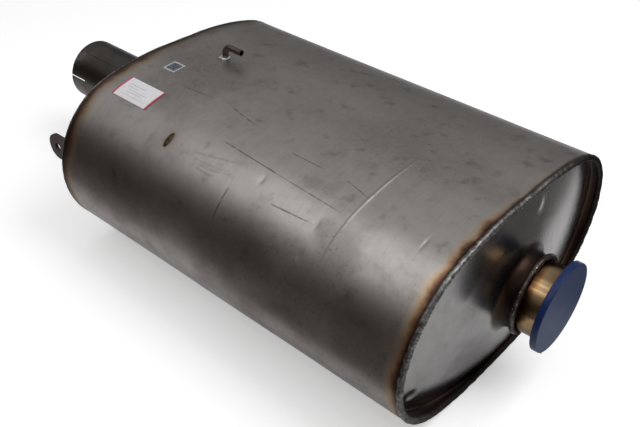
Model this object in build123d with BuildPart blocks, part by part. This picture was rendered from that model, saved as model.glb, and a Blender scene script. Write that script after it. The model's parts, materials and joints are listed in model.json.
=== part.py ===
"""Oval exhaust silencer with a pipe stub at each end of its long axis, in millimetres.

The silencer lies on its flat side. The origin is on the underside, half way along the shell.
+X points to the outlet, +Y away from the side of the lug, +Z up.
"""

from build123d import *

import os
from math import atan2, cos, degrees, radians, sin, sqrt

os.makedirs("parts", exist_ok=True)

# Shell: a rolled oval of flats, shoulder arcs and rounded sides. The crown rise is how far the
# flats stand above the top of the side circles
body_length = 632.0
body_width = 500.0
body_height = 284.0
flat_half_width = 35.0
crown_rise = 10.0
shell_wall = 1.5

# End plates: dished sheet, its edge flanged out to the rim, its middle pulled out round the pipe.
# The recess is how far the dish lies inside the rim at the flats
plate_sheet = 2.0
dish_radius = 1080.0
dish_recess = 3.9
dish_corner_radius = 3.0
neck_height = 33.0
neck_flare = 25.0
outlet_rim_weld_height = 3.6
outlet_rim_weld_width = 7.5
outlet_rim_weld_rounding = 3.0
inlet_rim_weld_height = 2.6
inlet_rim_weld_width = 4.7
inlet_rim_weld_rounding = 2.1
neck_weld_radius = 3.6
neck_weld_rise = 1.0
neck_weld_root = 0.8

# Outlet: a plain stub with a perforated tube sleeved in its inner end
outlet_diameter = 101.6
outlet_wall = 2.0
outlet_reach = 65.0
outlet_depth = 60.0
outlet_tube_length = 250.0

# Inlet: a slotted socket for a pipe of the outlet's size, with a perforated tube over its inner end
socket_clearance = 0.5
inlet_wall = 2.0
inlet_reach = 252.0
inlet_depth = 40.0
inlet_tube_length = 228.0
slot_length = 38.0
slot_width = 3.0
slot_angle = 172.5

# Perforated tubes
tube_wall = 1.5
tube_lap = 20.0
perforation_diameter = 8.0
perforation_drillings = 4
perforation_rows = 5
perforation_pitch = 18.0

# Inner plates, by the distance of their face from the outlet rim
outlet_baffle_station = 145.0
middle_baffle_station = 321.0
inlet_baffle_station = 443.0
baffle_sheet = 1.2
baffle_flange = 12.0
baffle_corner_radius = 5.0
crossover_diameter = 26.0
crossover_clearance = 22.0
crossover_count = 8

# Transfer tubes, beside the pipes, from the inlet chamber to the outlet chamber
transfer_diameter = 60.0
transfer_wall = 1.5
transfer_side_inset = 100.0
transfer_first_station = 230.0
transfer_last_station = 560.0

# Lug on the inlet end plate
lug_sheet = 5.0
lug_height = 42.0
lug_hole_diameter = 13.0
lug_side_inset = 16.0
lug_rise = 28.0
lug_hole_reach = 30.0
lug_foot_depth = 45.0
lug_weld_leg = 4.0
lug_weld_height = 9.0
lug_weld_sink = 1.5

# Pressure tap on the top of the shell
tap_diameter = 10.0
tap_wall = 1.0
tap_station = 532.0
tap_rise = 19.0
tap_bend_radius = 11.0
tap_length = 35.0
tap_depth = 8.0
tap_weld_leg = 3.0

# Plug weld through the shell on to the flange of the inlet baffle
plug_length = 24.0
plug_width = 8.0
plug_station = 449.0
plug_angle = 57.5
plug_proud = 0.8

# Push-in cap on the outlet
cap_diameter = 128.0
cap_flange = 9.0
cap_edge_radius = 1.5
cap_spigot_length = 28.0
cap_spigot_wall = 2.5
cap_clearance = 0.3
cap_tab_angle = 260.0
cap_tab_reach = 14.0
cap_tab_width = 15.0
cap_tab_root = 10.0
cap_tab_sheet = 2.5
cap_tab_rounding = 1.5

# Stickers on the shell
sticker_sheet = 0.3
label_length = 75.0
label_span = 39.5
label_station = 559.5
label_side_inset = 100.2
data_sticker_length = 24.0
data_sticker_span = 25.0
data_sticker_station = 566.0
data_sticker_offset = 74.5

# Sizes that follow from the driving dimensions
outlet_rim = body_length / 2
inlet_rim = -body_length / 2
half_height = body_height / 2
side_radius = half_height - crown_rise
axis_height = half_height
side_centre = body_width / 2 - side_radius
crown_span = body_width / 2 - flat_half_width
shoulder_radius = (crown_span**2 - 2 * crown_span * side_radius + half_height**2) / (
    2 * crown_rise
)
shoulder_centre = half_height - shoulder_radius
side_angle = degrees(atan2(-shoulder_centre, side_centre - flat_half_width))
transfer_offset = body_width / 2 - transfer_side_inset
label_offset = body_width / 2 - label_side_inset
outlet_radius = outlet_diameter / 2
outlet_bore = outlet_radius - outlet_wall
inlet_bore = outlet_radius + socket_clearance
inlet_radius = inlet_bore + inlet_wall
outlet_mouth = outlet_rim + outlet_reach
inlet_mouth = inlet_rim - inlet_reach
outlet_neck = outlet_rim + neck_height
inlet_neck = inlet_rim - neck_height
neck_weld_toe = sqrt(neck_weld_radius**2 - neck_weld_rise**2)
outlet_tube_radius = outlet_bore
inlet_tube_radius = inlet_radius + tube_wall
dish_depth = 60.0
flat_reach = half_height - shell_wall - plate_sheet
dish_crown = dish_radius - sqrt(dish_radius**2 - flat_reach**2) - dish_recess
crossover_circle_radius = (
    transfer_offset - transfer_diameter / 2 - crossover_diameter / 2 - crossover_clearance
)
pipe_axis = Axis((0, 0, axis_height), (1, 0, 0))


def across(x: float) -> Plane:
    """Plane across the silencer at x, centred on the pipe axis, its own x along Y and y up."""
    return Plane(origin=(x, 0, axis_height), x_dir=(0, 1, 0), z_dir=(1, 0, 0))


def rings(part: Part, radius: float) -> ShapeList:
    """Circular edges of a part that have the radius, from the inlet side to the outlet side."""
    circles = part.edges().filter_by(GeomType.CIRCLE)
    return circles.filter_by(lambda edge: abs(edge.radius - radius) < 0.01).sort_by(Axis.X)


def oval(inset: float) -> Sketch:
    """Face of the shell's oval, moved inwards by inset, centred on the pipe axis."""
    height = half_height - inset
    shoulder = shoulder_radius - inset
    with BuildSketch(Plane.XY) as outline:
        with BuildLine():
            Line((-flat_half_width, height), (flat_half_width, height))
            CenterArc((flat_half_width, shoulder_centre), shoulder, 90, side_angle - 90)
            CenterArc((side_centre, 0), side_radius - inset, side_angle, -2 * side_angle)
            CenterArc((flat_half_width, -shoulder_centre), shoulder, -side_angle, side_angle - 90)
            Line((flat_half_width, -height), (-flat_half_width, -height))
            CenterArc((-flat_half_width, -shoulder_centre), shoulder, 270, side_angle - 90)
            CenterArc((-side_centre, 0), side_radius - inset, 180 + side_angle, -2 * side_angle)
            CenterArc((-flat_half_width, shoulder_centre), shoulder, 180 - side_angle, side_angle - 90)
        make_face()
    return outline.sketch


# The plug weld lies on the rounded side of the shell that carries the lug
plug_plane = Plane(
    origin=(
        outlet_rim - plug_station,
        -side_centre - side_radius * cos(radians(plug_angle)),
        axis_height + side_radius * sin(radians(plug_angle)),
    ),
    x_dir=(1, 0, 0),
    z_dir=(0, -cos(radians(plug_angle)), sin(radians(plug_angle))),
)
tap_x = outlet_rim - tap_station

# Shell
with BuildPart() as shell:
    with BuildSketch(across(inlet_rim)):
        add(oval(0))
        add(oval(shell_wall), mode=Mode.SUBTRACT)
    extrude(amount=body_length)
    with BuildSketch(plug_plane):
        SlotOverall(plug_length, plug_width, rotation=90)
    extrude(amount=plug_length / 2, both=True, mode=Mode.SUBTRACT)
    with BuildSketch(Plane.XY.offset(body_height - tap_depth)):
        with Locations((tap_x, 0)):
            Circle(tap_diameter / 2)
    extrude(amount=2 * tap_depth, mode=Mode.SUBTRACT)
shell.part.label = "shell"
export_step(shell.part, "parts/shell.step")

# Outlet end plate: domed blank and neck, hollowed from behind, then the flange to the rim
outlet_dish_centre = (outlet_rim + dish_crown - dish_radius, 0, axis_height)
with BuildPart() as outlet_end_plate:
    with BuildSketch(across(outlet_rim - dish_depth)):
        add(oval(shell_wall + plate_sheet))
    extrude(amount=2 * dish_depth)
    with Locations(outlet_dish_centre):
        Sphere(dish_radius, rotation=(0, 0, 180), mode=Mode.INTERSECT)
    with BuildSketch(across(outlet_rim - dish_depth)):
        Circle(outlet_radius + plate_sheet)
    extrude(amount=dish_depth + neck_height)
    fillet(rings(outlet_end_plate.part, outlet_radius + plate_sheet)[-2], neck_flare)
    with Locations(outlet_dish_centre):
        Sphere(dish_radius - plate_sheet, rotation=(0, 0, 180), mode=Mode.SUBTRACT)
    with BuildSketch(across(outlet_rim - dish_depth)):
        Circle(outlet_radius)
    extrude(amount=2 * dish_depth, mode=Mode.SUBTRACT)
    fillet(rings(outlet_end_plate.part, outlet_radius)[0], neck_flare + plate_sheet)
    with BuildSketch(across(outlet_rim)):
        add(oval(shell_wall))
        add(oval(shell_wall + plate_sheet), mode=Mode.SUBTRACT)
    extrude(amount=-dish_depth)
    with Locations(outlet_dish_centre):
        Sphere(dish_radius - plate_sheet, rotation=(0, 0, 180), mode=Mode.SUBTRACT)
    dish_face = outlet_end_plate.faces().filter_by(GeomType.SPHERE).sort_by(Axis.X)[-1]
    fillet(dish_face.edges().sort_by(Axis.X)[:-1], dish_corner_radius)
outlet_end_plate.part.label = "outlet_end_plate"
export_step(outlet_end_plate.part, "parts/outlet_end_plate.step")

# Inlet end plate: the same blank turned about, with a neck for the wider pipe
inlet_dish_centre = (inlet_rim - dish_crown + dish_radius, 0, axis_height)
with BuildPart() as inlet_end_plate:
    with BuildSketch(across(inlet_rim + dish_depth)):
        add(oval(shell_wall + plate_sheet))
    extrude(amount=-2 * dish_depth)
    with Locations(inlet_dish_centre):
        Sphere(dish_radius, mode=Mode.INTERSECT)
    with BuildSketch(across(inlet_rim + dish_depth)):
        Circle(inlet_radius + plate_sheet)
    extrude(amount=-dish_depth - neck_height)
    fillet(rings(inlet_end_plate.part, inlet_radius + plate_sheet)[1], neck_flare)
    with Locations(inlet_dish_centre):
        Sphere(dish_radius - plate_sheet, mode=Mode.SUBTRACT)
    with BuildSketch(across(inlet_rim + dish_depth)):
        Circle(inlet_radius)
    extrude(amount=-2 * dish_depth, mode=Mode.SUBTRACT)
    fillet(rings(inlet_end_plate.part, inlet_radius)[-1], neck_flare + plate_sheet)
    with BuildSketch(across(inlet_rim)):
        add(oval(shell_wall))
        add(oval(shell_wall + plate_sheet), mode=Mode.SUBTRACT)
    extrude(amount=dish_depth)
    with Locations(inlet_dish_centre):
        Sphere(dish_radius - plate_sheet, mode=Mode.SUBTRACT)
    dish_face = inlet_end_plate.faces().filter_by(GeomType.SPHERE).sort_by(Axis.X)[0]
    fillet(dish_face.edges().sort_by(Axis.X)[1:], dish_corner_radius)
inlet_end_plate.part.label = "inlet_end_plate"
export_step(inlet_end_plate.part, "parts/inlet_end_plate.step")

# Rim welds: rounded beads over the edges of the shell and the plate's flange
with BuildPart() as outlet_rim_weld:
    with BuildSketch(across(outlet_rim)):
        add(oval(0))
        add(oval(outlet_rim_weld_width), mode=Mode.SUBTRACT)
    extrude(amount=outlet_rim_weld_height)
    fillet(outlet_rim_weld.faces().sort_by(Axis.X)[-1].edges(), outlet_rim_weld_rounding)
outlet_rim_weld.part.label = "outlet_rim_weld"
export_step(outlet_rim_weld.part, "parts/outlet_rim_weld.step")

with BuildPart() as inlet_rim_weld:
    with BuildSketch(across(inlet_rim)):
        add(oval(0))
        add(oval(inlet_rim_weld_width), mode=Mode.SUBTRACT)
    extrude(amount=-inlet_rim_weld_height)
    fillet(inlet_rim_weld.faces().sort_by(Axis.X)[0].edges(), inlet_rim_weld_rounding)
inlet_rim_weld.part.label = "inlet_rim_weld"
export_step(inlet_rim_weld.part, "parts/inlet_rim_weld.step")

# Pipe welds: round beads over the edges of the necks, with their roots melted into the pipes
with BuildPart() as outlet_pipe_weld:
    with BuildSketch(Plane.XZ):
        with Locations((outlet_neck, axis_height + outlet_radius + neck_weld_rise)):
            Circle(neck_weld_radius)
        with Locations((outlet_neck, axis_height + outlet_radius)):
            Rectangle(
                4 * neck_weld_radius,
                2 * neck_weld_radius,
                align=(Align.CENTER, Align.MAX),
                mode=Mode.SUBTRACT,
            )
            Rectangle(
                2 * neck_weld_radius, plate_sheet, align=(Align.MAX, Align.MIN), mode=Mode.SUBTRACT
            )
            Rectangle(neck_weld_toe, neck_weld_root, align=(Align.MIN, Align.MAX))
    revolve(axis=pipe_axis)
outlet_pipe_weld.part.label = "outlet_pipe_weld"
export_step(outlet_pipe_weld.part, "parts/outlet_pipe_weld.step")

with BuildPart() as inlet_pipe_weld:
    with BuildSketch(Plane.XZ):
        with Locations((inlet_neck, axis_height + inlet_radius + neck_weld_rise)):
            Circle(neck_weld_radius)
        with Locations((inlet_neck, axis_height + inlet_radius)):
            Rectangle(
                4 * neck_weld_radius,
                2 * neck_weld_radius,
                align=(Align.CENTER, Align.MAX),
                mode=Mode.SUBTRACT,
            )
            Rectangle(
                2 * neck_weld_radius, plate_sheet, align=(Align.MIN, Align.MIN), mode=Mode.SUBTRACT
            )
            Rectangle(neck_weld_toe, neck_weld_root, align=(Align.MAX, Align.MAX))
    revolve(axis=pipe_axis)
inlet_pipe_weld.part.label = "inlet_pipe_weld"
export_step(inlet_pipe_weld.part, "parts/inlet_pipe_weld.step")

# Outlet pipe
with BuildPart() as outlet_pipe:
    with BuildSketch(across(outlet_rim - outlet_depth)):
        Circle(outlet_radius)
        Circle(outlet_bore, mode=Mode.SUBTRACT)
    extrude(amount=outlet_depth + outlet_reach)
    with BuildSketch(Plane.XZ):
        with Locations((outlet_neck, axis_height + outlet_radius)):
            Rectangle(neck_weld_toe, 2 * neck_weld_root, align=(Align.MIN, Align.CENTER))
    revolve(axis=pipe_axis, mode=Mode.SUBTRACT)
outlet_pipe.part.label = "outlet_pipe"
export_step(outlet_pipe.part, "parts/outlet_pipe.step")

# Inlet pipe, with two slots opposite each other that let a clamp close its mouth
slot_plane = Plane(
    origin=(inlet_mouth, 0, axis_height),
    x_dir=(1, 0, 0),
    z_dir=(0, cos(radians(slot_angle)), sin(radians(slot_angle))),
)
with BuildPart() as inlet_pipe:
    with BuildSketch(across(inlet_mouth)):
        Circle(inlet_radius)
        Circle(inlet_bore, mode=Mode.SUBTRACT)
    extrude(amount=inlet_reach + inlet_depth)
    with BuildSketch(Plane.XZ):
        with Locations((inlet_neck, axis_height + inlet_radius)):
            Rectangle(neck_weld_toe, 2 * neck_weld_root, align=(Align.MAX, Align.CENTER))
    revolve(axis=pipe_axis, mode=Mode.SUBTRACT)
    with BuildSketch(slot_plane):
        SlotOverall(2 * slot_length, slot_width)
    extrude(amount=inlet_radius + slot_width, both=True, mode=Mode.SUBTRACT)
inlet_pipe.part.label = "inlet_pipe"
export_step(inlet_pipe.part, "parts/inlet_pipe.step")

# Perforated tubes, one sleeved in the outlet pipe's inner end and one over the inlet pipe's
outlet_tube_end = outlet_rim - outlet_depth + tube_lap - outlet_tube_length
with BuildPart() as outlet_perforated_tube:
    with BuildSketch(across(outlet_tube_end)):
        Circle(outlet_tube_radius)
        Circle(outlet_tube_radius - tube_wall, mode=Mode.SUBTRACT)
    extrude(amount=outlet_tube_length)
    for row in range(perforation_rows):
        row_plane = across(outlet_tube_end + (row + 1.5) * perforation_pitch)
        with Locations(row_plane.location):
            with PolarLocations(0, perforation_drillings, 22.5 * (row % 2), 180):
                Cylinder(
                    perforation_diameter / 2, outlet_diameter, rotation=(0, 90, 0), mode=Mode.SUBTRACT
                )
outlet_perforated_tube.part.label = "outlet_perforated_tube"
export_step(outlet_perforated_tube.part, "parts/outlet_perforated_tube.step")

inlet_tube_start = inlet_rim + inlet_depth - tube_lap
with BuildPart() as inlet_perforated_tube:
    with BuildSketch(across(inlet_tube_start)):
        Circle(inlet_tube_radius)
        Circle(inlet_radius, mode=Mode.SUBTRACT)
    extrude(amount=inlet_tube_length)
    for row in range(perforation_rows):
        row_plane = across(inlet_tube_start + tube_lap + (row + 1) * perforation_pitch)
        with Locations(row_plane.location):
            with PolarLocations(0, perforation_drillings, 22.5 * (row % 2), 180):
                Cylinder(
                    perforation_diameter / 2,
                    2 * inlet_tube_radius + perforation_diameter,
                    rotation=(0, 90, 0),
                    mode=Mode.SUBTRACT,
                )
inlet_perforated_tube.part.label = "inlet_perforated_tube"
export_step(inlet_perforated_tube.part, "parts/inlet_perforated_tube.step")

# Inner plates: shallow pans with the flange towards the inlet
with BuildPart() as outlet_baffle:
    with BuildSketch(across(outlet_rim - outlet_baffle_station)):
        add(oval(shell_wall))
    extrude(amount=-baffle_flange)
    fillet(outlet_baffle.faces().sort_by(Axis.X)[-1].edges(), baffle_corner_radius)
    offset(amount=-baffle_sheet, openings=outlet_baffle.faces().sort_by(Axis.X)[0])
    with BuildSketch(across(outlet_rim - outlet_baffle_station)):
        Circle(outlet_tube_radius)
    extrude(amount=-baffle_flange, mode=Mode.SUBTRACT)
outlet_baffle.part.label = "outlet_baffle"
export_step(outlet_baffle.part, "parts/outlet_baffle.step")

with BuildPart() as middle_baffle:
    with BuildSketch(across(outlet_rim - middle_baffle_station)):
        add(oval(shell_wall))
    extrude(amount=-baffle_flange)
    fillet(middle_baffle.faces().sort_by(Axis.X)[-1].edges(), baffle_corner_radius)
    offset(amount=-baffle_sheet, openings=middle_baffle.faces().sort_by(Axis.X)[0])
    with BuildSketch(across(outlet_rim - middle_baffle_station)):
        with GridLocations(2 * transfer_offset, 1, 2, 1):
            Circle(transfer_diameter / 2)
        with PolarLocations(crossover_circle_radius, crossover_count):
            Circle(crossover_diameter / 2)
    extrude(amount=-baffle_flange, mode=Mode.SUBTRACT)
middle_baffle.part.label = "middle_baffle"
export_step(middle_baffle.part, "parts/middle_baffle.step")

with BuildPart() as inlet_baffle:
    with BuildSketch(across(outlet_rim - inlet_baffle_station)):
        add(oval(shell_wall))
    extrude(amount=-baffle_flange)
    fillet(inlet_baffle.faces().sort_by(Axis.X)[-1].edges(), baffle_corner_radius)
    offset(amount=-baffle_sheet, openings=inlet_baffle.faces().sort_by(Axis.X)[0])
    with BuildSketch(across(outlet_rim - inlet_baffle_station)):
        Circle(inlet_tube_radius)
        with GridLocations(2 * transfer_offset, 1, 2, 1):
            Circle(transfer_diameter / 2)
    extrude(amount=-baffle_flange, mode=Mode.SUBTRACT)
inlet_baffle.part.label = "inlet_baffle"
export_step(inlet_baffle.part, "parts/inlet_baffle.step")

# Transfer tubes
with BuildPart() as near_transfer_tube:
    with BuildSketch(across(outlet_rim - transfer_last_station)):
        with Locations((-transfer_offset, 0)):
            Circle(transfer_diameter / 2)
            Circle(transfer_diameter / 2 - transfer_wall, mode=Mode.SUBTRACT)
    extrude(amount=transfer_last_station - transfer_first_station)
near_transfer_tube.part.label = "near_transfer_tube"
export_step(near_transfer_tube.part, "parts/near_transfer_tube.step")

with BuildPart() as far_transfer_tube:
    with BuildSketch(across(outlet_rim - transfer_last_station)):
        with Locations((transfer_offset, 0)):
            Circle(transfer_diameter / 2)
            Circle(transfer_diameter / 2 - transfer_wall, mode=Mode.SUBTRACT)
    extrude(amount=transfer_last_station - transfer_first_station)
far_transfer_tube.part.label = "far_transfer_tube"
export_step(far_transfer_tube.part, "parts/far_transfer_tube.step")

# Lug: a flat tab with a rounded end, its foot cut to the dish of the inlet end plate
lug_middle = -body_width / 2 + lug_side_inset + lug_sheet / 2
lug_hole_x = inlet_rim - lug_hole_reach
lug_hole_z = axis_height + lug_rise
with BuildPart() as hanger_lug:
    with BuildSketch(Plane.XZ.offset(-lug_middle)):
        with Locations((lug_hole_x, lug_hole_z)):
            Circle(lug_height / 2)
            Rectangle(
                lug_hole_reach + lug_foot_depth, lug_height, align=(Align.MIN, Align.CENTER)
            )
            Circle(lug_hole_diameter / 2, mode=Mode.SUBTRACT)
    extrude(amount=lug_sheet / 2, both=True)
    with Locations(inlet_dish_centre):
        Sphere(dish_radius, mode=Mode.SUBTRACT)
    add(inlet_end_plate.part, mode=Mode.SUBTRACT)
hanger_lug.part.label = "hanger_lug"
export_step(hanger_lug.part, "parts/hanger_lug.step")

# Fillet weld all round the lug's foot
lug_seat = hanger_lug.part.bounding_box().max.X
lug_weld_plane = Plane(
    origin=(lug_seat + lug_weld_sink, lug_middle, lug_hole_z), x_dir=(0, 1, 0), z_dir=(-1, 0, 0)
)
with BuildPart() as hanger_lug_weld:
    with BuildSketch(lug_weld_plane):
        Rectangle(lug_sheet + 2 * lug_weld_leg, lug_height + 2 * lug_weld_leg)
    extrude(amount=lug_weld_height, taper=22)
    with BuildSketch(across(inlet_rim)):
        add(oval(shell_wall + plate_sheet))
    extrude(amount=dish_depth, mode=Mode.INTERSECT)
    add(hanger_lug.part, mode=Mode.SUBTRACT)
    with Locations(inlet_dish_centre):
        Sphere(dish_radius, mode=Mode.SUBTRACT)
    add(inlet_end_plate.part, mode=Mode.SUBTRACT)
hanger_lug_weld.part.label = "hanger_lug_weld"
export_step(hanger_lug_weld.part, "parts/hanger_lug_weld.step")

# Pressure tap: a bent tube that stands in the top of the shell
tap_top = body_height + tap_rise
with BuildPart() as pressure_tap:
    with BuildLine(Plane.XZ):
        Line((tap_x, body_height - tap_depth), (tap_x, tap_top - tap_bend_radius))
        CenterArc((tap_x + tap_bend_radius, tap_top - tap_bend_radius), tap_bend_radius, 180, -90)
        Line((tap_x + tap_bend_radius, tap_top), (tap_x + tap_length, tap_top))
    with BuildSketch(Plane.XY.offset(body_height - tap_depth)):
        with Locations((tap_x, 0)):
            Circle(tap_diameter / 2)
            Circle(tap_diameter / 2 - tap_wall, mode=Mode.SUBTRACT)
    sweep()
pressure_tap.part.label = "pressure_tap"
export_step(pressure_tap.part, "parts/pressure_tap.step")

with BuildPart() as pressure_tap_weld:
    with BuildSketch(Plane.XZ):
        with Locations((tap_x, body_height)):
            Circle(tap_diameter / 2 + tap_weld_leg)
            Rectangle(
                4 * tap_diameter, 4 * tap_diameter, align=(Align.CENTER, Align.MAX), mode=Mode.SUBTRACT
            )
            Rectangle(tap_diameter, 4 * tap_diameter, mode=Mode.SUBTRACT)
            Rectangle(
                4 * tap_diameter,
                4 * tap_diameter,
                align=(Align.MAX, Align.CENTER),
                mode=Mode.SUBTRACT,
            )
            with Locations((0, tap_weld_leg)):
                Rectangle(
                    4 * tap_diameter,
                    4 * tap_diameter,
                    align=(Align.CENTER, Align.MIN),
                    mode=Mode.SUBTRACT,
                )
    revolve(axis=Axis((tap_x, 0, 0), (0, 0, 1)))
pressure_tap_weld.part.label = "pressure_tap_weld"
export_step(pressure_tap_weld.part, "parts/pressure_tap_weld.step")

# Plug weld
with BuildPart() as plug_weld:
    with BuildSketch(plug_plane):
        SlotOverall(plug_length, plug_width, rotation=90)
    extrude(amount=plug_length / 2, both=True)
    with BuildSketch(across(outlet_rim - plug_station - plug_width)):
        add(oval(-plug_proud))
        add(oval(shell_wall), mode=Mode.SUBTRACT)
    extrude(amount=2 * plug_width, mode=Mode.INTERSECT)
plug_weld.part.label = "plug_weld"
export_step(plug_weld.part, "parts/plug_weld.step")

# Push-in cap: a flange with a pointed pull tab and a hollow spigot
cap_radius = cap_diameter / 2
spigot_radius = outlet_bore - cap_clearance
tab_plane = Plane(
    origin=(outlet_mouth, 0, axis_height),
    x_dir=(0, cos(radians(cap_tab_angle)), sin(radians(cap_tab_angle))),
    z_dir=(1, 0, 0),
)
with BuildPart() as outlet_cap:
    with BuildSketch(across(outlet_mouth)):
        Circle(cap_radius)
    extrude(amount=cap_flange)
    fillet(outlet_cap.faces().sort_by(Axis.X)[-1].edges(), cap_edge_radius)
    with BuildSketch(tab_plane):
        with BuildLine():
            Polyline(
                (cap_radius - cap_tab_root, -cap_tab_width / 2),
                (cap_radius, -cap_tab_width / 2),
                (cap_radius + cap_tab_reach, 0),
                (cap_radius, cap_tab_width / 2),
                (cap_radius - cap_tab_root, cap_tab_width / 2),
                close=True,
            )
        make_face()
        fillet(vertices().sort_by(Axis.X)[-1], cap_tab_rounding)
    extrude(amount=cap_tab_sheet)
    with BuildSketch(across(outlet_mouth)):
        Circle(spigot_radius)
        Circle(spigot_radius - cap_spigot_wall, mode=Mode.SUBTRACT)
    extrude(amount=-cap_spigot_length)
outlet_cap.part.label = "outlet_cap"
export_step(outlet_cap.part, "parts/outlet_cap.step")

# Stickers: thin sheets that follow the shell
with BuildPart() as label:
    with BuildSketch(across(outlet_rim - label_station - label_length / 2)):
        add(oval(-sticker_sheet))
        add(oval(0), mode=Mode.SUBTRACT)
        with Locations((-label_offset, half_height)):
            Rectangle(label_span, body_height, mode=Mode.INTERSECT)
    extrude(amount=label_length)
label.part.label = "label"
export_step(label.part, "parts/label.step")

with BuildPart() as data_sticker:
    with BuildSketch(across(outlet_rim - data_sticker_station - data_sticker_length / 2)):
        add(oval(-sticker_sheet))
        add(oval(0), mode=Mode.SUBTRACT)
        with Locations((-data_sticker_offset, half_height)):
            Rectangle(data_sticker_span, body_height, mode=Mode.INTERSECT)
    extrude(amount=data_sticker_length)
data_sticker.part.label = "data_sticker"
export_step(data_sticker.part, "parts/data_sticker.step")
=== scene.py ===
"""Looks of an oval exhaust silencer on a pale floor, in metres, in the part's own frame.

The silencer lies on its flat side: +X points to the outlet, +Z up, and the tap is on top.
"""

from __future__ import annotations

import json
import logging
import math
from collections.abc import Callable
from dataclasses import dataclass
from enum import Enum

import bpy
from mathutils import Matrix, Vector, noise

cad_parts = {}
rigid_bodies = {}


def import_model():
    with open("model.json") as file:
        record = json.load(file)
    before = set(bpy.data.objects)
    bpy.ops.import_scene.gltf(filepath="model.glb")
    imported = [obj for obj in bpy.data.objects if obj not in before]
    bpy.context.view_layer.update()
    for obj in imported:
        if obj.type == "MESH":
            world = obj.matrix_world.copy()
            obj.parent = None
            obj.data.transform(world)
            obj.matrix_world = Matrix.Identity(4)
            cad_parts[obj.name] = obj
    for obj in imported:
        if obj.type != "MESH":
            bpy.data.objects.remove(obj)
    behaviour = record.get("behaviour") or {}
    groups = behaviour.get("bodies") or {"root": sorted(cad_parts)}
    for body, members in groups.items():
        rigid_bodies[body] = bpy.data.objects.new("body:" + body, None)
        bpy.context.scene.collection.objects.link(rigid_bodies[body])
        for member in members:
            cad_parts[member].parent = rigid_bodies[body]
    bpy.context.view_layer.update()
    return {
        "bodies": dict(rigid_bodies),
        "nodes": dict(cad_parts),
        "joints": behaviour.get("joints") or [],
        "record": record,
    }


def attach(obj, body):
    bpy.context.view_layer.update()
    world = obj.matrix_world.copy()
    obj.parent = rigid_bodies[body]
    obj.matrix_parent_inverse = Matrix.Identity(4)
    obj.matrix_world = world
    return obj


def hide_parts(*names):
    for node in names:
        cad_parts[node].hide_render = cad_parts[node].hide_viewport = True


LOG = logging.getLogger("silencer")
BODY = "silencer"

AXIS_HEIGHT = 0.142
RIM = 0.316
HALF_WIDTH = 0.250
HALF_HEIGHT = 0.142
FLAT_HALF_WIDTH = 0.035
CROWN_RISE = 0.010
SHEET = 0.0015
PLATE_SHEET = 0.002

Colour = tuple[float, float, float, float]
Point = tuple[float, float, float]
Piece = bpy.types.Object
Socket = bpy.types.NodeSocket

ORIGIN: Point = (0.0, 0.0, 0.0)
MEASURES = ("DOT_PRODUCT", "DISTANCE", "LENGTH")


class Kind(Enum):
    """Socket kinds of a shader node group."""

    VALUE = "NodeSocketFloat"
    COLOUR = "NodeSocketColor"
    VECTOR = "NodeSocketVector"


class End(Enum):
    """The two ends of the silencer, by the sign of their X."""

    OUTLET = 1
    INLET = -1


def rgb(red: float, green: float, blue: float) -> Colour:
    """Return an opaque linear colour."""
    return (red, green, blue, 1.0)


def clamp(value: float) -> float:
    """Return a value held between 0 and 1."""
    return min(1.0, max(0.0, value))


@dataclass(frozen=True)
class Oval:
    """The shell's oval, moved inwards by an inset, as points with outward normals."""

    inset: float = 0.0

    @property
    def side_radius(self) -> float:
        """Radius of the rounded sides, before the inset."""
        return HALF_HEIGHT - CROWN_RISE

    @property
    def side_centre(self) -> float:
        """Y of the centre of a rounded side."""
        return HALF_WIDTH - self.side_radius

    @property
    def shoulder_radius(self) -> float:
        """Radius of the shoulders, before the inset."""
        span = self.side_centre - FLAT_HALF_WIDTH
        return (span**2 + HALF_HEIGHT**2 - self.side_radius**2) / (2 * CROWN_RISE)

    def points(self, spacing: float) -> list[tuple[Vector, Vector]]:
        """Return points round the oval, from the underside's flat past the +Y side.

        Args:
            spacing: The greatest distance between two points.

        Returns:
            Pairs of a point and its outward normal, both with X at zero.
        """
        deep = self.shoulder_radius - HALF_HEIGHT
        bend = math.atan2(deep, self.side_centre - FLAT_HALF_WIDTH)
        quarter = math.pi / 2
        shoulder = self.shoulder_radius - self.inset
        side = self.side_radius - self.inset
        arcs = (
            (FLAT_HALF_WIDTH, deep, shoulder, -quarter, -bend, False),
            (self.side_centre, 0.0, side, -bend, bend, False),
            (FLAT_HALF_WIDTH, -deep, shoulder, bend, quarter, True),
            (-FLAT_HALF_WIDTH, -deep, shoulder, quarter, math.pi - bend, False),
            (-self.side_centre, 0.0, side, math.pi - bend, math.pi + bend, False),
            (-FLAT_HALF_WIDTH, deep, shoulder, math.pi + bend, math.pi + quarter, True),
        )
        found: list[tuple[Vector, Vector]] = []
        for middle, rise, radius, start, end, flat_follows in arcs:
            count = max(1, math.ceil(radius * abs(end - start) / spacing))
            for step in range(count + 1):
                angle = start + (end - start) * step / count
                out = Vector((0.0, math.cos(angle), math.sin(angle)))
                place = Vector((0.0, middle, AXIS_HEIGHT + rise)) + radius * out
                if not found or (place - found[-1][0]).length > spacing / 4:
                    found.append((place, out))
            if flat_follows:
                found.extend(self._flat(found[-1], spacing))
        return found

    @staticmethod
    def _flat(last: tuple[Vector, Vector], spacing: float) -> list[tuple[Vector, Vector]]:
        """Return the points of the flat that follows a point, without its ends.

        Args:
            last: The point and its outward normal.
            spacing: The greatest distance between two points.

        Returns:
            Pairs of a point and its outward normal.
        """
        start, out = last
        across = -2 * start.y
        count = max(1, math.ceil(abs(across) / spacing))
        steps = (Vector((0.0, across * step / count, 0.0)) for step in range(1, count))
        return [(start + step, out.copy()) for step in steps]


def make_active(piece: Piece) -> None:
    """Select one piece alone and make it active."""
    bpy.ops.object.select_all(action="DESELECT")
    piece.select_set(True)
    bpy.context.view_layer.objects.active = piece


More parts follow.
